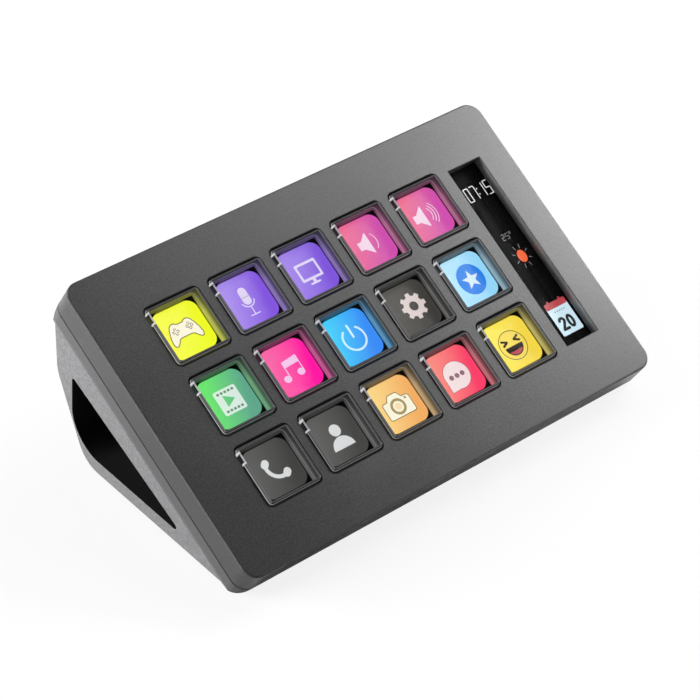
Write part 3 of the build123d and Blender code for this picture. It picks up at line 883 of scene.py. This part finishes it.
on_edge = all_of(cover_tree, compute(cover_tree, "GREATER_THAN", turned, edge_from),
                 compute(cover_tree, "LESS_THAN", turned, edge_to))
dull = compute(cover_tree, "MULTIPLY", on_edge, edge_roughness)
roughness = cover_shader.inputs["Roughness"]
duller = compute(cover_tree, "MAXIMUM", roughness.links[0].from_socket, dull)
cover_tree.links.new(duller, roughness)
# Painted shade: the lip is a dark shader with little sheen.
shaded = add_node(cover_tree, "ShaderNodeBsdfPrincipled", Roughness=0.7)
shaded.inputs["Specular IOR Level"].default_value = 0.05
shaded.inputs["Base Color"].default_value = lip_painted_shade
lip = all_of(cover_tree, *in_lip)
surface = blend_shaders(cover_tree, lip, cover_shader.outputs["BSDF"], shaded.outputs["BSDF"])
cover_tree.links.new(surface, find_node(cover_tree, "OUTPUT_MATERIAL").inputs["Surface"])


# The strip of display shows a clock, the weather and a calendar leaf, drawn as plain segment
# digits and shapes on the black glass. Places in it are measured down from the strip's top.
strip_width = 10.75
strip_right_margin = 8.65
strip_top_margin = 14.3
strip_shift = 2.25
strip_x = cover_width / 2 - strip_right_margin - strip_width / 2 + strip_shift
strip_top = cover_height / 2 - strip_top_margin
segments = {"0": "abcdef", "1": "bc", "2": "abged", "5": "afgcd", "7": "abc"}
# The open end of each bar, as a share of its thickness.
bar_gap = 0.45


def digit(sign, cx, cy, width, height, line):
    """One digit made of up to seven straight bars."""
    w = width / 2
    h = height / 2
    bars = {
        "a": [(-w, h), (w, h)], "b": [(w, h), (w, 0)], "c": [(w, 0), (w, -h)], "d": [(-w, -h), (w, -h)],
        "e": [(-w, 0), (-w, -h)], "f": [(-w, h), (-w, 0)], "g": [(-w, 0), (w, 0)],
    }
    shapes = []
    for bar in segments[sign]:
        (x0, y0), (x1, y1) = bars[bar]
        gap = Vector((x1 - x0, y1 - y0)).normalized() * line * bar_gap
        shapes += stroke([(cx + x0 + gap.x, cy + y0 + gap.y), (cx + x1 - gap.x, cy + y1 - gap.y)], line)
    return shapes


clock_y = -6.85
clock = disc(0.05, clock_y + 0.8, 0.2) + disc(0.05, clock_y - 0.8, 0.2)
for sign, x in zip("0715", (-3.2, -1.2, 1.3, 3.35)):
    clock += digit(sign, x, clock_y, 1.3, 3.9, 0.28)

degrees_y = -20.65
reading = ring(0.75, degrees_y + 0.6, 0.2, 0.36, 0, 360, 16)
for sign, x in zip("25", (-1.65, -0.3)):
    reading += digit(sign, x, degrees_y, 0.8, 1.6, 0.17)

sun_y = -27.0
rays = []
for ray in range(8):
    angle = radians(22.5 + ray * 45)
    inner = (1.85 * cos(angle), sun_y + 2.35 * sin(angle))
    outer = (2.55 * cos(angle), sun_y + 3.4 * sin(angle))
    rays += stroke([inner, outer], 0.2)

leaf_y = -45.75
leaf_width = 6.85
date_line = 0.8
leaf = plate(0, leaf_y, leaf_width, 9.5, 0.45)
header = plate(0, leaf_y + 3.85, leaf_width, 1.8, 0.4)
binding = [shape for x in (-1.9, 1.9) for shape in plate(x, leaf_y + 4.9, 0.6, 0.8, 0.2)]
week = [shape for x in (-1.5, -0.75, 0, 0.75, 1.5) for shape in disc(x, leaf_y + 1.9, 0.2)]
two = bend(-1.3, leaf_y - 0.85, 0.72, 165, -35, 16) + [(-2.05, leaf_y - 3.2), (-0.4, leaf_y - 3.2)]
nought = [(1.15 + 0.72 * x, leaf_y - 1.7 + 1.5 * y) for x, y in bend(0, 0, 1, 0, 360, 28)]
date = stroke(two, date_line) + stroke(nought, date_line)

strip_layers = [
    (clock, inks["ash"]),
    (reading + rays, inks["grey"]),
    (oval(0, sun_y, 2.6, 3.6), inks["sun"]),
    (leaf, inks["frost"]),
    (header + binding, inks["red"]),
    (week, inks["grey"]),
    (date, inks["black"]),
]
flat_piece("strip_picture", strip_layers, (strip_x, strip_top), strip_width)


# The boards are glass-fibre laminate under green lacquer, with copper lines just showing.
# The chips on them are cast in black resin, and the connectors are moulded in pale nylon.
green_board, tree, shader = new_finish("green_board")
tracks = add_node(tree, "ShaderNodeTexVoronoi", Scale=420.0)
tracks.distance = "MANHATTAN"
tree.links.new(own_place(tree), tracks.inputs["Vector"])
lacquer = [(0.2, shade(20, 74, 44)), (0.5, shade(12, 52, 32))]
colour_shader(tree, shader, tracks.outputs["Distance"], lacquer)
vary_roughness(tree, shader, tracks.outputs["Distance"], 0.3, 0.42)
add_bump(tree, shader, tracks.outputs["Distance"], 0.2, 0.00002)
for name in ("main_board", "usb_board"):
    finish_node(name, green_board)

chip_resin, _, _ = grained_plastic("chip_resin", shade(20, 20, 21), shade(34, 34, 35), 0.5, 0.62)
for name in ("processor", "memory_chip", "voltage_regulator", "inductor"):
    finish_node(name, chip_resin)
nylon_dark = shade(205, 198, 182)
nylon_pale = shade(222, 216, 202)
connector_nylon, _, _ = grained_plastic("connector_nylon", nylon_dark, nylon_pale, 0.45, 0.55)
for name in ("display_connector", "key_connector", "jumper_socket"):
    finish_node(name, connector_nylon)


# Screws are blackened steel and the standoffs under the board are turned brass. The
# socket in the back wall is a drawn steel shell, left bright.
blackened_steel = brushed_metal("blackened_steel", shade(52, 52, 54), shade(84, 84, 86), 0.4)
turned_brass = brushed_metal("turned_brass", shade(178, 140, 66), shade(214, 178, 96), 0.3)
socket_steel = brushed_metal("socket_steel", shade(150, 150, 154), shade(205, 205, 208), 0.28)
for name in ("board_screws", "usb_board_screws", "housing_screws"):
    finish_node(name, blackened_steel)
finish_node("board_standoffs", turned_brass)
finish_node("usb_socket", socket_steel)


# The rear housing is moulded in the same plastic as the cover. Its flat cheeks have a paler,
# coarser grain. Shade is painted black on the walls of the tunnel and on the seam behind the
# cover.
roof_angle = radians(25.6)
roof_normal = Vector((0.0, -sin(roof_angle), cos(roof_angle)))
floor_normal = Vector((0.0, 0.0, -1.0))
tunnel_top_wall = 6.65
tunnel_low_wall = 5.4
tunnel_height = 24.9
base_wall = 4.3
paint_edge = 0.3
shoulder_depth = 11.4
shoulder_blend = 0.8
seam_shade_depth = 7.8
lengthways_below = 0.5
flat_side_from = 0.98
housing_dark = shade(30, 30, 31)
housing_pale = shade(48, 48, 49)
cheek_tones = [(0.36, shade(56, 56, 57)), (0.64, shade(78, 78, 79))]
tunnel_and_seam_painted_shade = shade(12, 12, 13)

housing_low, housing_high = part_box("rear_housing")
rear_top = Vector((0.0, housing_high.y - tunnel_top_wall * mm, housing_low.z + tunnel_height * mm))
rear_foot = Vector((0.0, housing_high.y - tunnel_low_wall * mm, housing_low.z + base_wall * mm))
rear_run = rear_foot - rear_top
rear_normal = Vector((0.0, -rear_run.z, rear_run.y)).normalized()

satin_housing, tree, shader = grained_plastic("satin_housing", housing_dark, housing_pale, 0.4, 0.48)
place = own_place(tree)
sideways = compute(tree, "ABSOLUTE", project(tree, true_normal(tree), across_keypad))
in_tunnel = compute(tree, "LESS_THAN", sideways, lengthways_below)
for normal, point in ((roof_normal, rear_top), (rear_normal, rear_top), (floor_normal, rear_foot)):
    wall = normal.dot(point) + paint_edge * mm
    in_tunnel = all_of(tree, in_tunnel, compute(tree, "LESS_THAN", project(tree, place, normal), wall))
face_level = on_panel(0.0, 0.0, 0.0).dot(panel_z)
depth_level = project(tree, place, panel_z)
shoulder = (
    face_level - (shoulder_depth - shoulder_blend) * mm,
    face_level - (shoulder_depth + shoulder_blend) * mm,
)
on_cheek = all_of(tree, compute(tree, "GREATER_THAN", sideways, flat_side_from),
                  stretch(tree, depth_level, start=shoulder))
overpaint(tree, shader, on_cheek, colour_steps(tree, grain_noise(tree, 1900.0, 2.0, 0.6), cheek_tones))
# Painted shade: the tunnel walls and the seam behind the cover are painted black.
in_seam = compute(tree, "GREATER_THAN", depth_level, face_level - seam_shade_depth * mm)
overpaint(tree, shader, compute(tree, "MAXIMUM", in_tunnel, in_seam), tunnel_and_seam_painted_shade)
finish_node("rear_housing", satin_housing)


# The feet are four pads of soft black rubber, two in front and two behind. Each is let into
# a shallow recess of the base, and stands proud of it.
foot_rubber = matt_rubber("foot_rubber", shade(22, 22, 22), shade(38, 38, 38))
finish_node("front_feet", foot_rubber)
finish_node("rear_feet", foot_rubber)


# The stage is a pale floor that carries the shadow, a white room, soft lamps, and the camera,
# which looks down at the keypad from the front left.
floor_size = 6.0
floor_gap = 0.0001
floor_tone = (0.6, 0.6, 0.6, 1.0)
floor_seen_white = 0.85
white = (1.0, 1.0, 1.0, 1.0)
sky_strength = 0.03
aim = Vector((-0.0082, -0.0046, 0.0283))
camera_from = Vector((-0.36194, -0.39094, 0.44419))
camera_roll = radians(2.90)

form = bmesh.new()
bmesh.ops.create_grid(form, x_segments=1, y_segments=1, size=floor_size / 2)
floor_mesh = bpy.data.meshes.new("floor")
form.to_mesh(floor_mesh)
form.free()
floor = bpy.data.objects.new("floor", floor_mesh)
bpy.context.scene.collection.objects.link(floor)
floor.location.z = cad_bounds[0][2] - floor_gap
pale_floor, tree, shader = new_finish("pale_floor")
shader.inputs["Base Color"].default_value = floor_tone
shader.inputs["Roughness"].default_value = 0.9
shader.inputs["Specular IOR Level"].default_value = 0.1
white_glow = add_node(tree, "ShaderNodeEmission", Color=white, Strength=1.0)
seen = add_node(tree, "ShaderNodeLightPath").outputs["Is Camera Ray"]
seen = compute(tree, "MULTIPLY", seen, floor_seen_white)
surface = blend_shaders(tree, seen, shader.outputs["BSDF"], white_glow.outputs["Emission"])
tree.links.new(surface, find_node(tree, "OUTPUT_MATERIAL").inputs["Surface"])
floor_mesh.materials.append(pale_floor)

world = bpy.data.worlds.new("studio")
bpy.context.scene.world = world
world.use_nodes = True
tree = world.node_tree
sky = find_node(tree, "BACKGROUND")
sky.inputs["Color"].default_value = white
sky.inputs["Strength"].default_value = sky_strength
white_sky = add_node(tree, "ShaderNodeBackground", Color=white, Strength=1.0)
seen = add_node(tree, "ShaderNodeLightPath").outputs["Is Camera Ray"]
backdrop = blend_shaders(tree, seen, sky.outputs["Background"], white_sky.outputs["Background"])
tree.links.new(backdrop, find_node(tree, "OUTPUT_WORLD").inputs["Surface"])


def soft_lamp(name, place, size, power):
    """Square area lamp at a place in metres, pointed at the keypad."""
    lamp = bpy.data.lights.new(name, "AREA")
    lamp.shape = "SQUARE"
    lamp.size = size
    lamp.energy = power
    holder = bpy.data.objects.new(name, lamp)
    holder.location = Vector(place)
    holder.rotation_euler = (aim - holder.location).to_track_quat("-Z", "Y").to_euler()
    bpy.context.scene.collection.objects.link(holder)


soft_lamp("sheen_light", (0.363, -0.04, 0.29), 0.14, 0.85)
soft_lamp("back_light", (0.3, 0.1, 0.42), 0.3, 1.6)
soft_lamp("high_light", (0.55, -0.12, 0.45), 0.12, 1.7)
soft_lamp("left_light", (-0.8, 0.45, 0.1), 0.6, 57.0)
soft_lamp("front_light", (0.21, -0.16, 0.04), 0.08, 0.8)

camera_data = bpy.data.cameras.new("camera")
camera_data.sensor_width = 36.0
camera_data.lens = 143.8
camera_data.clip_start = 0.01
camera = bpy.data.objects.new("camera", camera_data)
camera.location = camera_from
look = (aim - camera_from).to_track_quat("-Z", "Y").to_matrix().to_4x4()
camera.rotation_euler = (look @ Matrix.Rotation(camera_roll, 4, "Z")).to_euler()
bpy.context.scene.collection.objects.link(camera)
bpy.context.scene.camera = camera
bpy.context.scene.view_settings.view_transform = "Standard"
